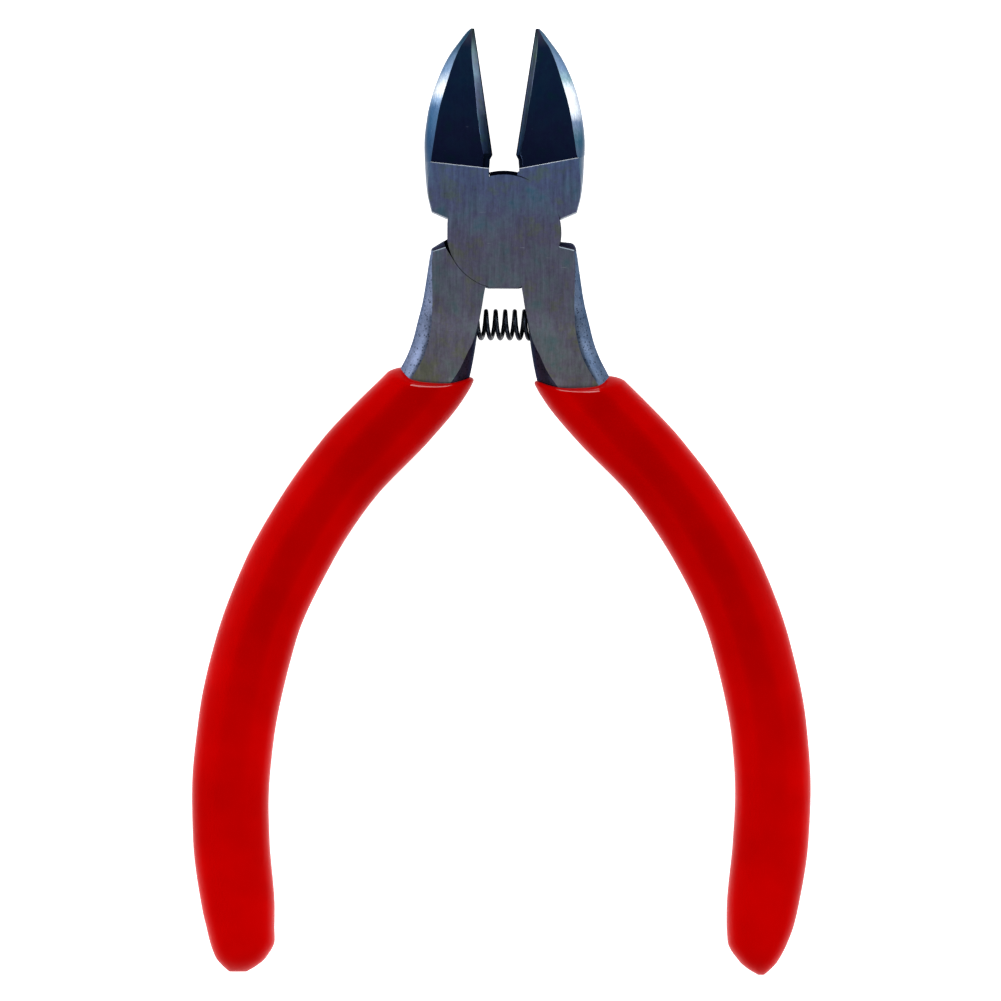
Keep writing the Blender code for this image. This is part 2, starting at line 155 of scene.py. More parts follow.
HEEL_STAGES = ((-3.3, 4.8), (-4.0, 4.3), (-4.8, 3.7), (-5.6, 3.2), (-6.3, 2.7))
HEEL_INNER_BEVEL = 0.2
HEEL_OUTER_BEVEL = 0.3
TANG_TOP_Y = -6.9
TANG_STEPS = 36
TANG_HIDDEN_Y = -21.5
BURIED_TOP_Y = -24.5
BURIED_END_Y = -86.0
BURIED_BEVEL = 0.16
BURIED_STEPS = 24
BEVEL_DROP = 2.2
BEVEL_START = math.radians(32.0)
BEVEL_STEPS = 6
SHOULDER_STEPS = 12
SHOULDER_DEPTH = 3.2
SHOULDER_DROP_SHARE = 0.45
SHOULDER_TOP = {-1: (-1.0, -0.62), 1: (-1.2, -0.1)}
SHOULDER_FACE = {-1: (-2.15, -0.3), 1: (-2.05, -0.25)}
SHOULDER_ROUNDING = {-1: 0.15, 1: 0.75}
SHOULDER_INSET = 0.05
EDGE_SOFTENING = 0.05
SOFTENED_SHARE = 0.4
SHORTEST_RUN = 1e-6

# Spring and its seats
SPRING_RADIUS = 1.78
SPRING_WIRE = 0.58
SPRING_PITCH = 1.24
SPRING_TOP_X = 0.24
SPRING_LEAN = 0.15
SPRING_POINTS_PER_TURN = 40
SPRING_SIDES = 14
SPRING_END_GAP = 0.05
SEAT_RADIUS = 2.42
SEAT_START_X = 0.5
SEAT_BOTTOM_X = 5.2
SEAT_SIDES = 64

# Grips: curves are (y, x) points of the grip on the +X side
GRIP_OUTER = ((-96.3, 34.6), (-95.6, 35.4), (-94.6, 36.3), (-92.0, 37.5), (-88.0, 38.6),
              (-79.0, 39.9), (-72.5, 40.1), (-63.4, 39.4), (-53.0, 37.2), (-42.6, 33.35),
              (-34.8, 29.0), (-27.0, 23.35), (-21.8, 18.46), (-19.2, 15.8), (-18.0, 14.6))
GRIP_INNER = ((-96.3, 33.4), (-95.6, 32.2), (-94.6, 31.0), (-92.0, 29.55), (-88.0, 29.45),
              (-79.0, 30.2), (-74.0, 30.42), (-66.0, 29.85), (-53.0, 27.0), (-42.6, 22.23),
              (-34.8, 17.0), (-27.0, 9.62), (-21.8, 5.4), (-19.2, 3.95), (-18.0, 3.6))
GRIP_SIDES = 96
GRIP_SQUARENESS_ACROSS = 2.35
GRIP_SQUARENESS_HIGH = 2.9
GRIP_STEPS = 110
GRIP_DOME_Y = -91.0
DOME_STEPS = 22
DOME_BLUNTNESS = 0.985
GRIP_WALL = 1.45
BOND_DEPTH = 0.1
WAVE_HEIGHT = 0.07
WAVE_BIAS = 0.55
WAVES_PER_MM = (0.16, 0.10, 0.16)
WAVE_SEED = 3.7
WAVES_START_Y = -24.0
WAVES_FADE = 4.0
GRIP_SWELL = {-1: 0.2, 1: 0.08}
END_SWELL = {-1: 0.35, 1: -0.25}
END_SWELL_Y = (-90.5, -94.5)
GRIP_LEAN = ((-96.3, 0.0), (-86.0, 0.03), (-76.0, 0.1), (-62.0, 0.24), (-48.0, 0.24), (-34.0, 0.18),
             (-26.0, 0.05), (-18.0, 0.0))
MOUTH_INNER_X = 4.0
MOUTH_INNER_Y = {-1: -18.75, 1: -19.2}
MOUTH_SLOPE = {-1: 0.1, 1: 0.055}
MOUTH_SAG = {-1: 1.4, 1: 1.3}
MOUTH_BLEND_LENGTH = 5.0
LIP_RADIUS = 0.65
LIP_STEPS = 9
CAVITY_SQUARENESS = 3.2
CAVITY_HALF_HEIGHT = 3.3
CAVITY_TOP_Y = TANG_HIDDEN_Y - 1.0


def smooth_curve(points):
    """Return x(y), a smooth curve through (y, x) points that never overshoots them."""
    ordered = sorted(points)
    ys = np.array([point[0] for point in ordered])
    xs = np.array([point[1] for point in ordered])
    secants = np.diff(xs) / np.diff(ys)
    slopes = np.zeros(len(xs))
    slopes[0] = secants[0]
    slopes[-1] = secants[-1]
    for i in range(1, len(xs) - 1):
        before, after = secants[i - 1], secants[i]
        if before * after > 0.0:
            slopes[i] = 2.0 * before * after / (before + after)

    def evaluate(y):
        i = int(np.clip(np.searchsorted(ys, y) - 1, 0, len(secants) - 1))
        width = ys[i + 1] - ys[i]
        t = (y - ys[i]) / width
        start = (1 + 2 * t) * (1 - t) ** 2 * xs[i] + t * (1 - t) ** 2 * width * slopes[i]
        end = t * t * (3 - 2 * t) * xs[i + 1] + t * t * (t - 1) * width * slopes[i + 1]
        return float(start + end)

    return evaluate


jaw_outer = smooth_curve(JAW_OUTER)
jaw_ridge = smooth_curve(JAW_RIDGE)
jaw_back = smooth_curve(JAW_BACK)
jaw_relief = smooth_curve(JAW_RELIEF)
root_edge = smooth_curve(ROOT_EDGE)
bevel_width = {side: smooth_curve(points) for side, points in BEVEL_WIDTH.items()}
tang_outer = smooth_curve(TANG_OUTER)
tang_inner = smooth_curve(TANG_INNER)
tang_outer_bevel = smooth_curve(TANG_OUTER_BEVEL)
tang_inner_bevel = smooth_curve(TANG_INNER_BEVEL)
tang_face = smooth_curve(TANG_FACE)
grip_outer = smooth_curve(GRIP_OUTER)
grip_inner = smooth_curve(GRIP_INNER)
grip_lean = smooth_curve(GRIP_LEAN)


# ---------------------------------------------------------------- meshes

def skin(rings):
    """Skin a row of equal rings into one closed body, in metres, with a cap at each end."""
    bm = bmesh.new()
    loops = [[bm.verts.new(Vector(point) * MM) for point in ring] for ring in rings]
    for first, second in zip(loops, loops[1:]):
        for i in range(len(first)):
            j = (i + 1) % len(first)
            bm.faces.new((first[i], first[j], second[j], second[i]))
    bm.faces.new(loops[0])
    bm.faces.new(loops[-1])
    bmesh.ops.recalc_face_normals(bm, faces=bm.faces)
    return bm


def make_object(name, bm):
    mesh = bpy.data.meshes.new(name)
    bm.to_mesh(mesh)
    bm.free()
    obj = bpy.data.objects.new(name, mesh)
    bpy.context.scene.collection.objects.link(obj)
    return obj


def apply_booleans(obj, steps):
    """Join or cut obj with helper meshes, and keep only the result."""
    helpers = []
    for i, (operation, bm) in enumerate(steps):
        helper = make_object(f"{obj.name}_helper_{i}", bm)
        boolean = obj.modifiers.new(helper.name, "BOOLEAN")
        boolean.object = helper
        boolean.operation = operation
        boolean.solver = "EXACT"
        helpers.append(helper)
    bpy.context.view_layer.update()
    graph = bpy.context.evaluated_depsgraph_get()
    mesh = bpy.data.meshes.new_from_object(obj.evaluated_get(graph))
    obj.modifiers.clear()
    obj.data = mesh
    for helper in helpers:
        bpy.data.objects.remove(helper, do_unlink=True)


def arc(radius, start_deg, end_deg):
    steps = max(1, round((end_deg - start_deg) / ARC_STEP))
    angles = [math.radians(start_deg + (end_deg - start_deg) * i / steps) for i in range(steps + 1)]
    return [(radius * math.cos(angle), radius * math.sin(angle)) for angle in angles]


def stepped_disc(radius, raised_radius, sector):
    """Outline of a disc whose radius is larger inside one sector."""
    start, end = sector
    return arc(raised_radius, start, end) + arc(radius, end, start + 360.0)


def lap_room(side, web_sector):
    """Outline of the room cut for the other lever: tight where the faces were ground together."""
    degrees, gaps = zip(*LAP_LINE[side])
    outline = []
    for x, y in stepped_disc(DISC_RADIUS, WEB_RADIUS, web_sector):
        radius = math.hypot(x, y)
        angle = math.degrees(math.atan2(y, x)) % 360.0
        grown = (radius + float(np.interp(angle, degrees, gaps))) / radius
        outline.append((x * grown, y * grown))
    return outline


def milled(outline, inset):
    """Flatten the sides and the bottom of the joint, seen between the jaws and the tangs."""
    left, right = DISC_FLATS_X
    return [(min(max(x, left + inset), right - inset), max(y, DISC_FLAT_Y + inset))
            for x, y in outline]


def prism(outline, low, high):
    return skin([[(x, y, z) for x, y in outline] for z in (low, high)])


def disc_mesh(radius, raised_radius):
    """Full-thickness joint disc with its rims broken by a small chamfer."""
    rings = []
    for inset, z in ((RIM_CHAMFER, 0.0), (0.0, RIM_CHAMFER), (0.0, THICKNESS - RIM_CHAMFER),
                     (RIM_CHAMFER, THICKNESS)):
        outline = milled(stepped_disc(radius - inset, raised_radius - inset, WEB_SECTOR), inset)
        rings.append([(x, y, z) for x, y in outline])
    return skin(rings)


def turned(profile, sides):
    """Turn (radius, z) points about the Z axis."""
    angles = [2.0 * math.pi * i / sides for i in range(sides)]
    return skin([[(r * math.cos(a), r * math.sin(a), z) for a in angles] for r, z in profile])


def soften(points, corners, size=EDGE_SOFTENING):
    """Round the numbered corners of a closed outline of (x, z) points."""
    softened = []
    for i, point in enumerate(points):
        if i not in corners:
            softened.append(point)
            continue
        here = Vector(point)
        ends = []
        for other in (points[i - 1], points[(i + 1) % len(points)]):
            run = Vector(other) - here
            ends.append(here + run * min(SOFTENED_SHARE, size / max(run.length, SHORTEST_RUN)))
        softened += [tuple(ends[0]), tuple((ends[0] + ends[1]) / 4 + here / 2), tuple(ends[1])]
    return softened


# ---------------------------------------------------------------- jaws

def facet_height(x, y):
    """Height of the sloping front facet of a jaw."""
    return FACET_ORIGIN[2] + FACET_RISE_X * (x - FACET_ORIGIN[0]) - FACET_FALL_Y * (y - FACET_ORIGIN[1])


def edge_x(y):
    ys = (STEP_INNER[1], THROAT_TOP_Y, EDGE_ROOT[0], EDGE_TIP[0])
    return float(np.interp(y, ys, (THROAT_X, THROAT_X, EDGE_ROOT[1], EDGE_TIP[1])))


def edge_z(y):
    return float(np.interp(y, (EDGE_ROOT[0], EDGE_TIP[0]), (EDGE_ROOT_Z, EDGE_TIP_Z)))


def rounded_side(start, steps):
    """Shares (across, down) of a side that leaves a face at an angle and ends square to it."""
    shares = []
    for i in range(steps + 1):
        angle = start + (math.pi / 2 - start) * i / steps
        across = (math.sin(angle) - math.sin(start)) / (1.0 - math.sin(start))
        down = (math.cos(start) - math.cos(angle)) / math.cos(start)
        shares.append((across, down))
    return shares


def flank(ridge, outer, top, bottom):
    """Rounded outer side of a jaw, as (x, z) points from the front face to the back face."""
    width = outer - ridge
    height = top - bottom
    shares = rounded_side(FLANK_START, FLANK_STEPS)
    front = [(ridge + width * across, top - FLANK_TOP_SHARE * height * down)
             for across, down in shares]
    back = [(ridge + width * across, bottom + FLANK_BOTTOM_SHARE * height * down)
            for across, down in reversed(shares)]
    return front + back


def root_ring(side, y_of_x, y, inner):
    """Full-thickness section of a jaw between its shoulder and the step to the facet."""
    outer = jaw_outer(y) + JAW_GROWTH[side]
    points = [(inner, MIDDLE), (inner, MIDDLE + LAND_RISE), (inner, THICKNESS)]
    points += flank(outer - root_edge(y), outer, THICKNESS, 0.0)
    points += [(inner, 0.0)]
    points = soften(points, (2, len(points) - 2))
    return [(side * x, y_of_x(x), z) for x, z in points]


def blade_ring(side, y_of_x, y):
    """Section of a jaw's blade: edge, bevel, front facet, rounded flank, back and relief."""
    ridge = jaw_ridge(y)
    edge = edge_x(y)
    bevel = min(edge + bevel_width[side](y), ridge - LEAST_FACET)
    land = edge + min(LAND_WIDTH, LAND_SHARE * (bevel - edge))
    points = [(edge, edge_z(y)), (land, edge_z(y) + LAND_RISE), (bevel, facet_height(bevel, y))]
    outer = jaw_outer(y) + JAW_GROWTH[side] * min(1.0, (TIP_Y - y) / JAW_GROWTH_FADE)
    points += flank(ridge, outer, facet_height(ridge, y), jaw_back(y))
    points += [(edge + jaw_relief(y), jaw_back(y))]
    points = soften(points, (2, len(points) - 2))
    return [(side * x, y_of_x(x), z) for x, z in points]


def step_line(side, x, offset=0.0):
    return STEP_INNER[1] + STEP_SLOPE[side] * (x - STEP_INNER[0]) + offset


def shoulder_line(x):
    return SHOULDER_INNER[1] + SHOULDER_SLOPE * (x - SHOULDER_INNER[0])


def blade_stations():
    """Places along a blade, closer together towards the rounded tip."""
    length = TIP_Y - BLADE_START_Y
    return [BLADE_START_Y + length * math.sin(math.pi / 2 * i / BLADE_STEPS)
            for i in range(BLADE_STEPS + 1)]


def jaw_mesh(side):
    """Jaw from the shoulder by the joint, over the step down to the facet, to the tip."""
    def on_step(x):
        return step_line(side, x)

    rings = [root_ring(side, shoulder_line, JAW_OUTER[0][0], ROOT_FOOT_X)]
    rings += [root_ring(side, lambda x, y=y: y, y, inner) for y, inner in ROOT_STAGES]
    root_end = root_ring(side, on_step, ROOT_END_Y, THROAT_X)
    rings.append(root_end)
    rings.append([(x, y + STEP_RIM, z - STEP_RIM if z > MIDDLE else z) for x, y, z in root_end])
    rings.append(blade_ring(side, lambda x: step_line(side, x, STEP_RUN), STEP_FOOT_Y))
    rings += [blade_ring(side, lambda x, y=y: max(y, step_line(side, x, STEP_CLEARANCE)), y)
              for y in STEP_STAGES]
    rings += [blade_ring(side, lambda x, y=y: y, y) for y in blade_stations()]
    return skin(rings)


# ---------------------------------------------------------------- tangs

def bar_ring(side, y_of_x, inner, outer, inner_bevel, outer_bevel, half, drop):
    """Section of a tang: flat front and back faces with a rounded bevel along each side."""
    shares = rounded_side(BEVEL_START, BEVEL_STEPS)
    rising = [(inner_bevel + (inner - inner_bevel) * across, half - drop * down)
              for across, down in reversed(shares)]
    falling = [(outer_bevel + (outer - outer_bevel) * across, half - drop * down)
               for across, down in shares]
    crown_shade = ((inner_bevel + outer_bevel) / 2, half)
    upper = [(inner, 0.0), *rising, crown_shade, *falling, (outer, 0.0)]
    lower = [(x, -z) for x, z in reversed(upper[1:-1])]
    return [(side * x, y_of_x(x), MIDDLE + z) for x, z in upper + lower]


def tang_ring(side, y):
    half = tang_face(y) - MIDDLE
    return bar_ring(side, lambda x: y, tang_inner(y), tang_outer(y), tang_inner_bevel(y),
                    tang_outer_bevel(y), half, BEVEL_DROP)


def shoulder_height(side, share):
    """Line across the tang's shoulder, from its top edge (share 0) to the ground face (share 1)."""
    top, top_slope = SHOULDER_TOP[side]
    face, face_slope = SHOULDER_FACE[side]

    def height(x):
        across = x - SHOULDER_INNER[0]
        return (1.0 - share) * (top + top_slope * across) + share * (face + face_slope * across)

    return height


def shoulder_ring(side, turn):
    """Section across the rounded shoulder, from its top edge (turn 0) to a quarter turn."""
    short = 1.0 - math.sin(turn)
    half = MIDDLE - SHOULDER_DEPTH * short
    outer = tang_outer(TANG_OUTER[-1][0]) - SHOULDER_INSET - SHOULDER_ROUNDING[side] * short
    return bar_ring(side, shoulder_height(side, 1.0 - math.cos(turn)), TANG_HEEL, outer,
                    TANG_HEEL + HEEL_INNER_BEVEL, outer - HEEL_OUTER_BEVEL, half,
                    SHOULDER_DROP_SHARE * half)


def tang_mesh(side):
    """Tang from its shoulder by the joint, past the heel, to its end inside the grip."""
    rings = [shoulder_ring(side, math.pi / 2 * i / SHOULDER_STEPS)
             for i in range(SHOULDER_STEPS + 1)]
    for y, inner in HEEL_STAGES:
        rings.append(bar_ring(side, lambda x, y=y: y, inner, tang_outer(y),
                              inner + HEEL_INNER_BEVEL, tang_outer_bevel(y), MIDDLE, BEVEL_DROP))
    rings += [tang_ring(side, y) for y in np.linspace(TANG_TOP_Y, TANG_HIDDEN_Y, TANG_STEPS + 1)]
    rings += [buried_ring(side, y) for y in np.linspace(BURIED_TOP_Y, BURIED_END_Y, BURIED_STEPS)]
    return skin(rings)


def buried_ring(side, y):
    """Section of the tang inside the grip."""
    inner = grip_inner(y) + perpendicular_offset(grip_inner, y, GRIP_WALL)
    outer = grip_outer(y) - perpendicular_offset(grip_outer, y, GRIP_WALL)
    bevel = BURIED_BEVEL * (outer - inner)
    return bar_ring(side, lambda x: y, inner, outer, inner + bevel, outer - bevel,
                    CAVITY_HALF_HEIGHT, BEVEL_DROP)


def perpendicular_offset(curve, y, distance):
    """Distance along X that moves a curve by the given distance across its own direction."""
    slope = curve(y + 0.5) - curve(y - 0.5)
    return distance * math.hypot(1.0, slope)


def rivet_profile(gap, margin):
    head = RIVET_HEAD_RADIUS + gap
    shaft = RIVET_RADIUS + gap
    depth = RIVET_HEAD_DEPTH
    profile = [(head, 0.0), (shaft, depth), (shaft, THICKNESS - depth), (head, THICKNESS)]
    if margin:
        profile = [(head + margin, -margin)] + profile + [(head + margin, THICKNESS + margin)]
    return profile


def seat_mesh(side):
    angles = [2.0 * math.pi * i / SEAT_SIDES for i in range(SEAT_SIDES)]
    return skin([[(side * x, SPRING_Y + SEAT_RADIUS * math.cos(a),
                   MIDDLE + SEAT_RADIUS * math.sin(a)) for a in angles]
                 for x in (SEAT_START_X, SEAT_BOTTOM_X)])


def make_lever(name, jaw_side, radii, cut_sector, cut_low, cut_high):
    """One lever: disc, jaw and tang joined, less the other lever's half of the joint."""
    lever = make_object(name, disc_mesh(*radii))
    room = lap_room(jaw_side, cut_sector)
    apply_booleans(lever, [
        ("UNION", jaw_mesh(jaw_side)),
        ("UNION", tang_mesh(-jaw_side)),
        ("DIFFERENCE", prism(room, cut_low, cut_high)),
        ("DIFFERENCE", turned(rivet_profile(RIVET_CLEARANCE, CUT_MARGIN), RIVET_SIDES)),
        ("DIFFERENCE", seat_mesh(-jaw_side)),
    ])
    return lever


# ---------------------------------------------------------------- spring and grips

def spring_mesh():
    """Round wire wound into a coil between the seat bottoms."""
    reach = SPRING_REACH - SPRING_WIRE / 2 - SPRING_END_GAP
    steps = int(2 * reach / SPRING_PITCH * SPRING_POINTS_PER_TURN)
    rings = []
    for i in range(steps + 1):
        x = -reach + 2 * reach * i / steps
        angle = 2.0 * math.pi * (x - SPRING_TOP_X) / SPRING_PITCH
        x -= SPRING_LEAN * math.sin(angle) * min(1.0, (reach - abs(x)) / SPRING_PITCH)
        radial = Vector((0.0, math.cos(angle), math.sin(angle)))
        climb = SPRING_PITCH / (2 * math.pi * SPRING_RADIUS)
        along = Vector((climb, -math.sin(angle), math.cos(angle)))
        across = along.normalized().cross(radial)
        centre = Vector((x, SPRING_Y, MIDDLE)) + SPRING_RADIUS * radial
        ring = []
        for j in range(SPRING_SIDES):
            turn = 2.0 * math.pi * j / SPRING_SIDES
            outward = math.cos(turn) * radial + math.sin(turn) * across
            ring.append(centre + SPRING_WIRE / 2 * outward)
        rings.append(ring)
    return skin(rings)


def superellipse(angle, squareness_across, squareness_high):
    c, s = math.cos(angle), math.sin(angle)
    across = math.copysign(abs(c) ** (2.0 / squareness_across), c)
    high = math.copysign(abs(s) ** (2.0 / squareness_high), s)
    return across, high


def mouth_offset(side, x, angle):
    """How far the grip's mouth lies above its inner corner: it climbs outwards and sags in front."""
    return MOUTH_SLOPE[side] * (x - MOUTH_INNER_X) - MOUTH_SAG[side] * math.sin(angle) ** 2


def grip_point(side, y, angle, half_height):
    across, high = superellipse(angle, GRIP_SQUARENESS_ACROSS, GRIP_SQUARENESS_HIGH)
    end_share = float(np.interp(-y, np.negative(END_SWELL_Y), (0, 1)))
    swell = GRIP_SWELL[side] + END_SWELL[side] * end_share
    inner, outer = grip_inner(y) - swell, grip_outer(y) + swell
    x = (inner + outer) / 2 + across * (outer - inner) / 2
    return Vector((side * x + grip_lean(y), y, MIDDLE + high * half_height))


def steel_point(side, y, angle):
    """Point just under the surface of the steel, where the vinyl is bonded to it."""
    across, high = superellipse(angle, CAVITY_SQUARENESS, CAVITY_SQUARENESS)
    if y > TANG_HIDDEN_Y:
        inner, outer, half = tang_inner(y), tang_outer(y), tang_face(y) - MIDDLE
        inner, outer = inner + BOND_DEPTH, outer - BOND_DEPTH
    else:
        half = CAVITY_HALF_HEIGHT
        inner = grip_inner(y) + perpendicular_offset(grip_inner, y, GRIP_WALL + BOND_DEPTH)
        outer = grip_outer(y) - perpendicular_offset(grip_outer, y, GRIP_WALL + BOND_DEPTH)
    x = (inner + outer) / 2 + across * (outer - inner) / 2
    return Vector((side * x, y, MIDDLE + high * (half - BOND_DEPTH)))


def rim_height(side, angle):
    inner_y = MOUTH_INNER_Y[side]
    x = abs(grip_point(side, inner_y, angle, GRIP_HALF_HEIGHT).x)
    return inner_y + mouth_offset(side, x, angle)


def grip_mesh(side):
    """Dipped sleeve: up the bonded inside, over the thick lip and down the outside."""
    angles = [2.0 * math.pi * i / GRIP_SIDES for i in range(GRIP_SIDES)]
    rings = [[steel_point(side, y, a) for a in angles]
             for y in np.linspace(BURIED_END_Y, CAVITY_TOP_Y, BURIED_STEPS)]
    for i in range(LIP_STEPS):
        turn = math.pi / 2 * i / LIP_STEPS
        drop = LIP_RADIUS * (1.0 - math.cos(turn))
        ring = []
        for a in angles:
            y = rim_height(side, a)
            steel = steel_point(side, y, a)
            vinyl = grip_point(side, y - drop, a, GRIP_HALF_HEIGHT)
            point = steel.lerp(vinyl, math.sin(turn))
            point.y = y - drop
            ring.append(point)
        rings.append(ring)
    start = MOUTH_INNER_Y[side] - LIP_RADIUS
    for y in np.linspace(start, GRIP_DOME_Y, GRIP_STEPS):
        share = max(0.0, 1.0 - (start - y) / MOUTH_BLEND_LENGTH) ** 2
        rings.append([grip_point(side, y + share * (rim_height(side, a) - MOUTH_INNER_Y[side]), a,
                                 GRIP_HALF_HEIGHT) for a in angles])
    for i in range(1, DOME_STEPS + 1):
        t = math.sin(math.pi / 2 * i / DOME_STEPS)
        y = GRIP_DOME_Y + (GRIP_END_Y - GRIP_DOME_Y) * t
        half_height = GRIP_HALF_HEIGHT * math.sqrt(1.0 - (DOME_BLUNTNESS * t) ** 2)
        rings.append([grip_point(side, y, a, half_height) for a in angles])
    return skin(rings)


def add_waviness(obj, seed):
    """Give dipped vinyl its slight unevenness, away from the mouth and inside the rest size."""
    mesh = obj.data
    normals = [vertex.normal.copy() for vertex in mesh.vertices]
    for vertex, normal in zip(mesh.vertices, normals):
        point = vertex.co / MM
        fade = min(1.0, max(0.0, (WAVES_START_Y - point.y) / WAVES_FADE))
        place = point * Vector(WAVES_PER_MM) + Vector((0.0, 0.0, seed))
        vertex.co += normal * (WAVE_HEIGHT * fade * (noise.noise(place) - WAVE_BIAS)) * MM


# ---------------------------------------------------------------- materials

def srgb(red, green, blue):
    """Linear colour, with alpha, of an 8-bit display colour."""
    values = []
    for value in (red, green, blue):
        v = value / 255.0
        values.append(v / 12.92 if v <= 0.04045 else ((v + 0.055) / 1.055) ** 2.4)
    return (*values, 1.0)


PER_MM = 1.0 / MM
WHITE = (1.0, 1.0, 1.0, 1.0)

# Steel: tones are (y, colour) stops along the pliers, mottles are three tints of its clouds; the flank,
# rim and facet tones are painted light or shade, as noted by each
SCRATCH = srgb(205, 215, 222)
FACET_SCRATCH = srgb(60, 66, 84)
OILED_EDGE = srgb(168, 176, 186)
GROUND_TONES = ((-20.0, srgb(140, 146, 150)), (-14.0, srgb(135, 144, 154)), (-7.0, srgb(131, 142, 158)),
                (-1.0, srgb(128, 138, 160)), (4.0, srgb(119, 140, 174)), (9.0, srgb(115, 146, 188)))
GROUND_MOTTLE = (srgb(215, 252, 248), srgb(252, 232, 252), srgb(255, 248, 214))
# Facet tones are painted shade: near-black steel standing in for the dark that the milled facets
# reflect, paler at the tip
FACET_SHADE_TONES = ((8.0, srgb(8, 15, 32)), (13.0, srgb(12, 20, 38)), (18.0, srgb(10, 24, 42)),
               (24.0, srgb(12, 28, 46)), (26.5, srgb(50, 54, 64)))
FACET_MOTTLE = (srgb(220, 240, 255), srgb(255, 225, 250), srgb(225, 255, 235))
EDGE_TONES = ((8.0, srgb(48, 52, 84)), (10.5, srgb(74, 96, 128)), (12.5, srgb(92, 132, 160)),
              (14.5, srgb(104, 132, 156)), (17.0, srgb(110, 134, 156)), (20.0, srgb(108, 132, 152)),
              (24.0, srgb(86, 112, 112)), (25.6, srgb(56, 70, 74)), (26.5, srgb(30, 36, 46)))
# GLINT and the flank tones are painted highlights: bright bands along Y where each flank catches the
# lamps, GLINT being their white middle
GLINT = srgb(236, 242, 248)
LEFT_FLANK_HIGHLIGHT_TONES = (
    (8.0, srgb(70, 86, 112)), (11.0, srgb(64, 82, 110)), (12.5, srgb(66, 90, 122)),
    (14.5, srgb(72, 102, 134)), (16.2, srgb(80, 108, 144)), (17.2, srgb(150, 178, 212)),
    (18.0, GLINT), (18.9, GLINT), (19.7, srgb(200, 214, 230)), (21.0, srgb(128, 154, 188)),
    (22.8, srgb(100, 124, 152)), (24.4, srgb(60, 80, 98)), (26.5, srgb(50, 66, 82)))
RIGHT_FLANK_HIGHLIGHT_TONES = (
    (8.0, srgb(76, 98, 118)), (10.4, srgb(82, 97, 117)), (11.7, srgb(66, 95, 112)),
    (13.0, srgb(90, 113, 131)), (14.3, srgb(114, 130, 158)), (15.5, srgb(224, 233, 242)),
    (16.3, GLINT), (18.0, GLINT), (18.8, srgb(222, 232, 242)), (19.9, srgb(140, 174, 184)),
    (21.4, srgb(118, 141, 174)), (24.4, srgb(94, 116, 138)), (26.5, srgb(74, 94, 114)))
# Rim tones are a painted highlight: a bright line along the rim of the jaw's step, greyer on the tang
# shoulders
RIM_HIGHLIGHT_TONES = ((-4.0, srgb(120, 132, 142)), (2.0, srgb(120, 132, 142)), (10.0, srgb(212, 222, 234)))
PLAIN = (WHITE, WHITE, WHITE)
STEELS = ("ground", "facet", "edge", "left_flank", "right_flank", "rim", "left_bevel", "right_bevel",
          "forged_and_painted_shade")

# Where each steel finish lies; slopes are components of a face's normal
GROUND_SLOPE = 0.985
BLADE_BASE_Y = STEP_INNER[1] - 0.2
STEP_END_Y = 12.0
RIM_SLOPE = 0.5
STEP_RIM_SLOPE = 0.4
SHOULDER_RIM_Y = (-4.0, 1.5)
SHOULDER_RIM_SLOPE = 0.1
SHOULDER_RIM_DEPTH = 0.04
FACET_SLOPE = 0.8
LAND_SLOPE = 0.42
FLANK_SLOPE = 0.2
TANG_SIDE_Y = -2.5
TANG_SIDE_SLOPE = 0.15
LEVEL_SLOPE = 0.9999
STEEL_CREASE_DEG = 28.0
SOFT_CREASE_DEG = 60.0

# Vinyl: the crown is the level middle of a grip, darkened as painted shade, the red is painted paler
# towards the grip's end as painted light, and only the lip of its mouth is glossy
VINYL_DARK = srgb(180, 0, 0)
VINYL_LIGHT = srgb(196, 0, 2)
VINYL_PAINTED_LIGHT_TONES = ((-97.0, srgb(255, 60, 60)), (-80.0, srgb(253, 60, 60)), (-45.0, srgb(248, 60, 60)),
               (-30.0, srgb(242, 60, 60)), (-18.0, srgb(240, 60, 60)))
CROWN_SHADE_TONES = ((-97.0, WHITE), (-80.0, WHITE), (-62.0, srgb(240, 240, 240)),
               (-48.0, srgb(230, 230, 230)), (-18.0, srgb(230, 230, 230)))
CROWN_SLOPES = (0.968, 0.998)
RED_REFLECTION = srgb(255, 24, 30)
LIP_GLOSS_Y = -21.4
LIP_GLOSS_X = {-1: (6.6, 11.9), 1: (6.9, 12.4)}
LIP_GLOSS_SLOPES = (0.12, 0.8)


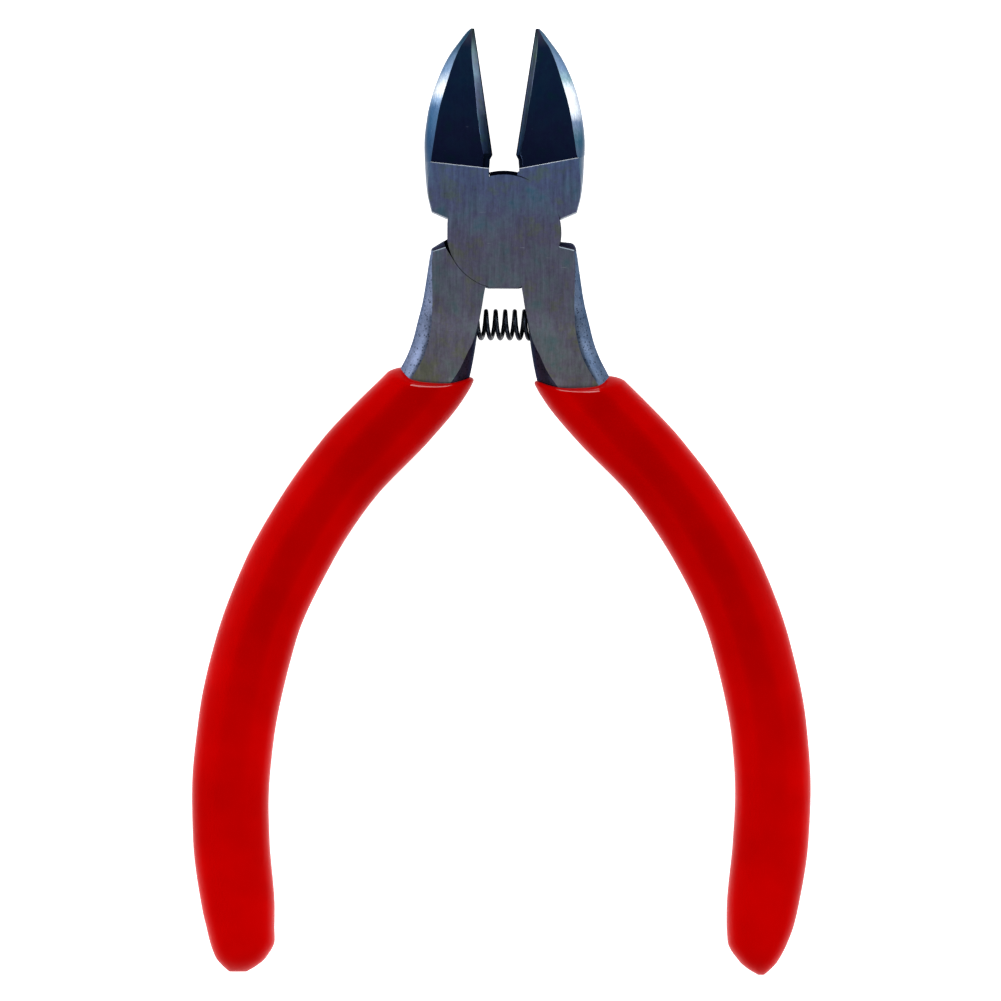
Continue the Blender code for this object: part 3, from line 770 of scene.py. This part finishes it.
class Nodes:
    """Short calls for building one material's node tree."""

    def __init__(self, name, metallic=0.0):
        self.material = bpy.data.materials.new(name)
        self.material.use_nodes = True
        self.tree = self.material.node_tree
        self.shader = self.tree.nodes["Principled BSDF"]
        self.shader.inputs["Metallic"].default_value = metallic
        places = self.tree.nodes.new("ShaderNodeTexCoord").outputs
        self.coordinates = places["Object"]
        self.surface_normal = places["Normal"]

    def link(self, output, target):
        self.tree.links.new(output, target)

    def stretched(self, per_mm, turn=0.0, shift=0.0):
        """Coordinates with so many texture units to a millimetre, turned about Z and shifted."""
        mapping = self.tree.nodes.new("ShaderNodeMapping")
        mapping.inputs["Scale"].default_value = [count * PER_MM for count in per_mm]
        mapping.inputs["Rotation"].default_value = (0.0, 0.0, turn)
        mapping.inputs["Location"].default_value = (shift, shift, 0.0)
        self.link(self.coordinates, mapping.inputs["Vector"])
        return mapping.outputs["Vector"]

    def even(self, per_mm):
        return self.stretched((per_mm, per_mm, per_mm))

    def along(self, axis, low, high, ragged=0.0):
        """Share of the way from low to high along one axis, with an uneven boundary."""
        split = self.tree.nodes.new("ShaderNodeSeparateXYZ")
        self.link(self.coordinates, split.inputs["Vector"])
        span = self.tree.nodes.new("ShaderNodeMapRange")
        span.inputs["From Min"].default_value = low * MM
        span.inputs["From Max"].default_value = high * MM
        self.link(split.outputs[axis], span.inputs["Value"])
        if not ragged:
            return span.outputs["Result"]
        streaks = self.noise(self.stretched((6.0, 1.2, 3.0), 0.6), 2.0, 0.5)
        wobble = self.tree.nodes.new("ShaderNodeMath")
        wobble.operation = "MULTIPLY_ADD"
        wobble.inputs[1].default_value = ragged
        self.link(streaks, wobble.inputs[0])
        self.link(span.outputs["Result"], wobble.inputs[2])
        centred = self.tree.nodes.new("ShaderNodeMath")
        centred.operation = "SUBTRACT"
        centred.inputs[1].default_value = ragged / 2
        self.link(wobble.outputs["Value"], centred.inputs[0])
        return centred.outputs["Value"]

    def levelness(self):
        """How nearly the surface faces straight up: 1 where it is level."""
        split = self.tree.nodes.new("ShaderNodeSeparateXYZ")
        self.link(self.surface_normal, split.inputs["Vector"])
        return split.outputs["Z"]

    def profile(self, axis, stops, ragged=0.0):
        """Colour that changes along one axis, from (millimetres, colour) stops."""
        low, high = stops[0][0], stops[-1][0]
        shares = [((place - low) / (high - low), colour) for place, colour in stops]
        return self.ramp(self.along(axis, low, high, ragged), shares)

    def noise(self, vector, detail, roughness):
        texture = self.tree.nodes.new("ShaderNodeTexNoise")
        texture.inputs["Scale"].default_value = 1.0
        texture.inputs["Detail"].default_value = detail
        texture.inputs["Roughness"].default_value = roughness
        self.link(vector, texture.inputs["Vector"])
        return texture.outputs["Fac"]

    def cells(self, vector):
        """Distance to the nearest of many scattered points."""
        texture = self.tree.nodes.new("ShaderNodeTexVoronoi")
        texture.inputs["Scale"].default_value = 1.0
        self.link(vector, texture.inputs["Vector"])
        return texture.outputs["Distance"]

    def ramp(self, value, stops):
        """Colour, or a plain number, that changes with a value between (value, colour) stops."""
        ramp = self.tree.nodes.new("ShaderNodeValToRGB")
        elements = ramp.color_ramp.elements
        while len(elements) < len(stops):
            elements.new(0.5)
        for element, (position, colour) in zip(elements, stops):
            element.position = position
            element.color = colour if isinstance(colour, tuple) else (colour, colour, colour, 1.0)
        self.link(value, ramp.inputs["Fac"])
        return ramp.outputs["Color"]

    def mix(self, factor, first, second, mode="MIX"):
        mix = self.tree.nodes.new("ShaderNodeMix")
        mix.data_type = "RGBA"
        mix.blend_type = mode
        for value, socket in ((factor, mix.inputs["Factor"]), (first, mix.inputs[6]),
                              (second, mix.inputs[7])):
            if isinstance(value, bpy.types.NodeSocket):
                self.link(value, socket)
            else:
                socket.default_value = value
        return mix.outputs[2]

    def bump(self, height, strength, distance):
        bump = self.tree.nodes.new("ShaderNodeBump")
        bump.inputs["Strength"].default_value = strength
        bump.inputs["Distance"].default_value = distance * MM
        self.link(height, bump.inputs["Height"])
        self.link(bump.outputs["Normal"], self.shader.inputs["Normal"])

    def roughness(self, value, low, high):
        span = self.tree.nodes.new("ShaderNodeMapRange")
        span.inputs["To Min"].default_value = low
        span.inputs["To Max"].default_value = high
        self.link(value, span.inputs["Value"])
        self.link(span.outputs["Result"], self.shader.inputs["Roughness"])


def ground_steel(name, tones, mottle, scratch, roughness=(0.30, 0.46), turn=0.0, ragged=0.0):
    """Machined steel: fine lines, a tone that changes along Y, mottling and stray scratches."""
    nodes = Nodes(name, metallic=1.0)
    nodes.shader.inputs["Specular Tint"].default_value = OILED_EDGE
    lines = nodes.noise(nodes.stretched((3.4, 0.24, 3.4), turn), 5.0, 0.75)
    blotches = nodes.noise(nodes.even(0.3), 3.0, 0.65)
    grain = nodes.noise(nodes.even(2.6), 4.0, 0.65)
    clouds = nodes.ramp(blotches, [(0.3, mottle[0]), (0.42, WHITE), (0.54, mottle[1]),
                                   (0.66, mottle[2])])
    colour = nodes.mix(1.0, nodes.profile("Y", tones, ragged), clouds, "MULTIPLY")
    shade = nodes.ramp(lines, [(0.25, 0.5), (0.75, 1.0)])
    colour = nodes.mix(0.75, colour, shade, "MULTIPLY")
    speckle = nodes.ramp(grain, [(0.3, 0.7), (0.7, 1.0)])
    colour = nodes.mix(0.6, colour, speckle, "MULTIPLY")
    for shift, lean in ((3.0, 0.25), (11.0, -0.5)):
        stray = nodes.noise(nodes.stretched((0.28, 5.0, 1.0), lean, shift), 2.0, 0.5)
        streaks = nodes.ramp(stray, [(0.76, 0.0), (0.80, 0.7)])
        colour = nodes.mix(streaks, colour, scratch)
    nodes.link(colour, nodes.shader.inputs["Base Color"])
    nodes.roughness(lines, *roughness)
    nodes.bump(lines, 0.35, 0.01)
    return nodes.material


def forged_steel(name, base, light, pit, roughness):
    """Forged or tumbled surface: cloudy tone, fine grain and scattered dark pits."""
    nodes = Nodes(name, metallic=1.0)
    nodes.shader.inputs["Specular Tint"].default_value = OILED_EDGE
    cloud = nodes.noise(nodes.even(0.5), 4.0, 0.6)
    grain = nodes.noise(nodes.even(5.0), 3.0, 0.6)
    colour = nodes.ramp(cloud, [(0.3, base), (0.7, light)])
    shade = nodes.ramp(grain, [(0.3, 0.45), (0.7, 1.0)])
    colour = nodes.mix(0.7, colour, shade, "MULTIPLY")
    pits = nodes.ramp(nodes.cells(nodes.even(2.3)), [(0.2, 0.8), (0.33, 0.0)])
    colour = nodes.mix(pits, colour, pit)
    nodes.link(colour, nodes.shader.inputs["Base Color"])
    nodes.roughness(grain, *roughness)
    nodes.bump(grain, 0.4, 0.03)
    return nodes.material


def vinyl(name, reflection, specular, ior, roughness):
    """Dipped vinyl: deep red, slightly cloudy and dimpled, with painted shade on its level crown and
    painted light making it paler towards the end.
    """
    nodes = Nodes(name)
    cloud = nodes.noise(nodes.even(0.09), 3.0, 0.55)
    dimples = nodes.noise(nodes.even(1.3), 2.0, 0.5)
    colour = nodes.ramp(cloud, [(0.35, VINYL_DARK), (0.65, VINYL_LIGHT)])
    # painted light: the red grows paler towards the grip's end
    colour = nodes.mix(1.0, colour, nodes.profile("Y", VINYL_PAINTED_LIGHT_TONES), "MULTIPLY")
    # painted shade: the level crown is darkened, less so near the end
    crown_shade = nodes.ramp(nodes.levelness(), list(zip(CROWN_SLOPES, (0.0, 1.0))))
    colour = nodes.mix(crown_shade, colour, nodes.profile("Y", CROWN_SHADE_TONES), "MULTIPLY")
    nodes.link(colour, nodes.shader.inputs["Base Color"])
    nodes.roughness(dimples, *roughness)
    nodes.bump(dimples, 0.12, 0.05)
    nodes.shader.inputs["IOR"].default_value = ior
    nodes.shader.inputs["Specular IOR Level"].default_value = specular
    nodes.shader.inputs["Specular Tint"].default_value = reflection
    return nodes.material


def spring_steel(name):
    """Black oiled spring wire, finely grained."""
    nodes = Nodes(name, metallic=1.0)
    grain = nodes.noise(nodes.even(6.0), 3.0, 0.6)
    colour = nodes.ramp(grain, [(0.35, srgb(22, 24, 30)), (0.7, srgb(52, 58, 70))])
    nodes.link(colour, nodes.shader.inputs["Base Color"])
    nodes.roughness(grain, 0.28, 0.45)
    nodes.bump(grain, 0.25, 0.02)
    return nodes.material


def make_steels():
    return {
        "ground": ground_steel("ground_steel", GROUND_TONES, GROUND_MOTTLE, SCRATCH),
        # the facet material's near-black is painted shade; it also darkens the lap faces and the step
        # walls
        "facet": ground_steel("facet_steel_painted_shade", FACET_SHADE_TONES, FACET_MOTTLE, FACET_SCRATCH,
                              (0.4, 0.55), 1.3),
        "edge": ground_steel("honed_edge_steel", EDGE_TONES, GROUND_MOTTLE, SCRATCH,
                             (0.25, 0.4), 1.4),
        # the flank materials carry painted highlights along Y
        "left_flank": ground_steel("left_flank_steel", LEFT_FLANK_HIGHLIGHT_TONES, PLAIN, SCRATCH,
                                   (0.2, 0.34), 1.2, 0.09),
        "right_flank": ground_steel("right_flank_steel", RIGHT_FLANK_HIGHLIGHT_TONES, PLAIN, SCRATCH,
                                    (0.2, 0.34), 1.2, 0.09),
        # the rim material is a painted highlight line
        "rim": ground_steel("rim_steel_painted_highlight", RIM_HIGHLIGHT_TONES, PLAIN, SCRATCH, (0.2, 0.34)),
        # outer tang bevels: lit copies of the forged finish, painted lighter than its inward faces as
        # painted light, the left lighter than the right
        "left_bevel": forged_steel("left_tumbled_steel_painted_light", srgb(92, 104, 130), srgb(114, 124, 152),
                                   srgb(36, 42, 56), (0.35, 0.5)),
        "right_bevel": forged_steel("right_tumbled_steel_painted_light", srgb(62, 78, 102), srgb(92, 106, 130),
                                    srgb(30, 36, 50), (0.35, 0.5)),
        # shaded copy of the forged finish: partly the dark forged surface, partly painted shade on
        # inward-facing, hidden and behind faces
        "forged_and_painted_shade": forged_steel("forged_steel_and_painted_shade", srgb(46, 44, 62), srgb(64, 62, 82),
                                    srgb(18, 18, 28), (0.4, 0.6)),
    }


def on_rim(centre, normal):
    """Whether a face is on the thin rim of a jaw's step or of a tang's shoulder, which carries a
    painted highlight line.
    """
    depth = THICKNESS - centre.z
    if normal.z <= RIM_SLOPE:
        return False
    if centre.y > BLADE_BASE_Y:
        return abs(normal.y) > STEP_RIM_SLOPE and depth < STEP_RIM
    low, high = SHOULDER_RIM_Y
    return low < centre.y < high and normal.y > SHOULDER_RIM_SLOPE and depth < SHOULDER_RIM_DEPTH


def steel_kind(centre, normal):
    """Finish of one lever face, from where it is and which way it points; some finishes carry painted
    light or shade.
    """
    outward = normal.x if centre.x > 0 else -normal.x
    on_blade = centre.y > BLADE_BASE_Y
    if abs(normal.z) > GROUND_SLOPE:
        # level faces at the lap between the levers take the near-black facet material as painted shade
        return "facet" if abs(centre.z - MIDDLE) < LAP_GAP else "ground"
    if on_rim(centre, normal):
        return "rim"
    # the step's wall takes the facet material as painted shade
    if on_blade and normal.y > FACET_SLOPE and centre.y < STEP_END_Y:
        return "facet"
    if on_blade and outward < 0.0:
        return "edge" if LAND_SLOPE < normal.z <= FACET_SLOPE else "facet"
    # outward faces of the jaws take the flank materials with their painted highlights
    if centre.y > SHOULDER_INNER[1] and outward > FLANK_SLOPE:
        return "right_flank" if centre.x > 0 else "left_flank"
    # outward tang bevels take the lit copies; the left is painted lighter than the right
    if centre.y < TANG_SIDE_Y and outward > TANG_SIDE_SLOPE:
        return "right_bevel" if centre.x > 0 else "left_bevel"
    # every other face, turned inwards or lying behind, takes the darker forged copy: a forged finish
    # with painted shade
    return "forged_and_painted_shade"


def paint_lever(lever, steels):
    for kind in STEELS:
        lever.data.materials.append(steels[kind])
    for face in lever.data.polygons:
        face.material_index = STEELS.index(steel_kind(face.center / MM, face.normal))


def paint_lip(grip, side):
    """Give the rounded lip of the grip's mouth its gloss."""
    inner, outer = LIP_GLOSS_X[side]
    least, most = LIP_GLOSS_SLOPES
    for face in grip.data.polygons:
        place = face.center / MM
        on_lip = place.y > LIP_GLOSS_Y and inner < side * place.x < outer
        if on_lip and least < face.normal.y < most:
            face.material_index = 1


def finish_shading(obj, angle_deg):
    """Smooth the rounded faces and keep the level ones flat."""
    obj.data.shade_smooth()
    obj.data.set_sharp_from_angle(angle=math.radians(angle_deg))
    for face in obj.data.polygons:
        if abs(face.normal.z) > LEVEL_SLOPE:
            face.use_smooth = False
    weighted = obj.modifiers.new("weighted_normals", "WEIGHTED_NORMAL")
    weighted.keep_sharp = True


# ---------------------------------------------------------------- the pliers

def make_levers(steels):
    front = make_lever("front_lever_fine", -1, (DISC_RADIUS, DISC_RADIUS), WEB_SWEEP_SECTOR,
                       -CUT_MARGIN, MIDDLE + LAP_GAP / 2)
    back = make_lever("back_lever_fine", 1, (BACK_DISC_RADIUS, WEB_RADIUS), WEB_CUT_SECTOR,
                      MIDDLE - LAP_GAP / 2, THICKNESS + CUT_MARGIN)
    for lever, body, node in ((front, FRONT_BODY, "front_lever"), (back, BACK_BODY, "back_lever")):
        lever.data.materials.clear()
        paint_lever(lever, steels)
        finish_shading(lever, STEEL_CREASE_DEG)
        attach(lever, body)
        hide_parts(node)


def make_rivet(steels):
    rivet = make_object("pivot_rivet_fine", turned(rivet_profile(0.0, 0.0), RIVET_SIDES))
    rivet.data.materials.append(steels["ground"])
    finish_shading(rivet, STEEL_CREASE_DEG)
    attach(rivet, FRONT_BODY)
    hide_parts("pivot_rivet")


def make_spring():
    spring = make_object("return_spring_fine", spring_mesh())
    spring.data.materials.append(spring_steel("black_spring_wire"))
    finish_shading(spring, SOFT_CREASE_DEG)
    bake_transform(spring)
    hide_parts("return_spring")


def make_grips():
    red = vinyl("red_dipped_vinyl", RED_REFLECTION, 0.2, 1.2, (0.3, 0.42))
    glossy = vinyl("red_glossy_lip", WHITE, 1.0, 1.5, (0.05, 0.09))
    for side, body, node in ((1, FRONT_BODY, "right_grip"), (-1, BACK_BODY, "left_grip")):
        grip = make_object(node + "_fine", grip_mesh(side))
        add_waviness(grip, WAVE_SEED * side)
        grip.data.materials.append(red)
        grip.data.materials.append(glossy)
        paint_lip(grip, side)
        finish_shading(grip, SOFT_CREASE_DEG)
        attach(grip, body)
        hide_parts(node)


def make_pliers():
    steels = make_steels()
    make_levers(steels)
    make_rivet(steels)
    make_spring()
    make_grips()


# ---------------------------------------------------------------- stage, light and camera

FLOOR_SIZE = 4.0
FLOOR_DROP = 0.1 * MM
FLOOR_COLOUR = (0.92, 0.92, 0.92, 1.0)
FLOOR_GLOW = 1.0
WORLD_LIGHT = 0.15
# Softboxes: name, azimuth, elevation (degrees), distance, size (m), power (W)
SOFTBOXES = (
    ("right_strip", 16.0, 30.0, 0.9, (0.10, 0.7), 3.6),
    ("left_strip", 164.0, 30.0, 0.9, (0.10, 0.7), 3.6),
    ("near_softbox", -90.0, 50.0, 0.9, (0.8, 0.4), 3.0),
    ("far_softbox", 90.0, 50.0, 0.9, (0.8, 0.4), 2.9),
)

# Camera: it looks straight down at the pliers, turned VIEW_TILT radians from upright
FRAME_WIDTH = 130.13 * MM
VIEW_CENTRE = (-0.226 * MM, -34.84 * MM)
VIEW_TILT = 0.00583
SENSOR = 36.0
LENS = 400.0
FAR_CLIP = 10.0


def make_floor():
    bm = bmesh.new()
    bmesh.ops.create_grid(bm, x_segments=1, y_segments=1, size=FLOOR_SIZE / 2)
    floor = make_object("floor", bm)
    floor.location.z = -FLOOR_DROP
    nodes = Nodes("pale_floor")
    nodes.shader.inputs["Base Color"].default_value = FLOOR_COLOUR
    nodes.shader.inputs["Roughness"].default_value = 0.9
    nodes.shader.inputs["Specular IOR Level"].default_value = 0.1
    nodes.shader.inputs["Emission Color"].default_value = WHITE
    nodes.shader.inputs["Emission Strength"].default_value = FLOOR_GLOW
    floor.data.materials.append(nodes.material)


def add_softbox(name, azimuth_deg, elevation_deg, distance, size, power):
    light = bpy.data.lights.new(name, "AREA")
    light.shape = "RECTANGLE"
    light.size, light.size_y = size
    light.energy = power
    obj = bpy.data.objects.new(name, light)
    azimuth, elevation = math.radians(azimuth_deg), math.radians(elevation_deg)
    direction = Vector((math.cos(azimuth) * math.cos(elevation),
                        math.sin(azimuth) * math.cos(elevation), math.sin(elevation)))
    target = Vector((0.0, VIEW_CENTRE[1], 0.0))
    obj.location = target + direction * distance
    obj.rotation_euler = direction.to_track_quat("Z", "Y").to_euler()
    bpy.context.scene.collection.objects.link(obj)


def make_light():
    world = bpy.data.worlds.new("studio")
    bpy.context.scene.world = world
    world.use_nodes = True
    background = world.node_tree.nodes["Background"]
    background.inputs["Color"].default_value = WHITE
    background.inputs["Strength"].default_value = WORLD_LIGHT
    for softbox in SOFTBOXES:
        add_softbox(*softbox)


def make_camera():
    data = bpy.data.cameras.new("camera")
    data.lens = LENS
    data.sensor_width = SENSOR
    data.clip_end = FAR_CLIP
    camera = bpy.data.objects.new("camera", data)
    distance = FRAME_WIDTH * LENS / SENSOR
    camera.location = (*VIEW_CENTRE, MIDDLE * MM + distance)
    camera.rotation_euler = (0.0, 0.0, VIEW_TILT)
    bpy.context.scene.collection.objects.link(camera)
    bpy.context.scene.camera = camera
    bpy.context.scene.view_settings.view_transform = "Standard"


make_pliers()
make_floor()
make_light()
make_camera()
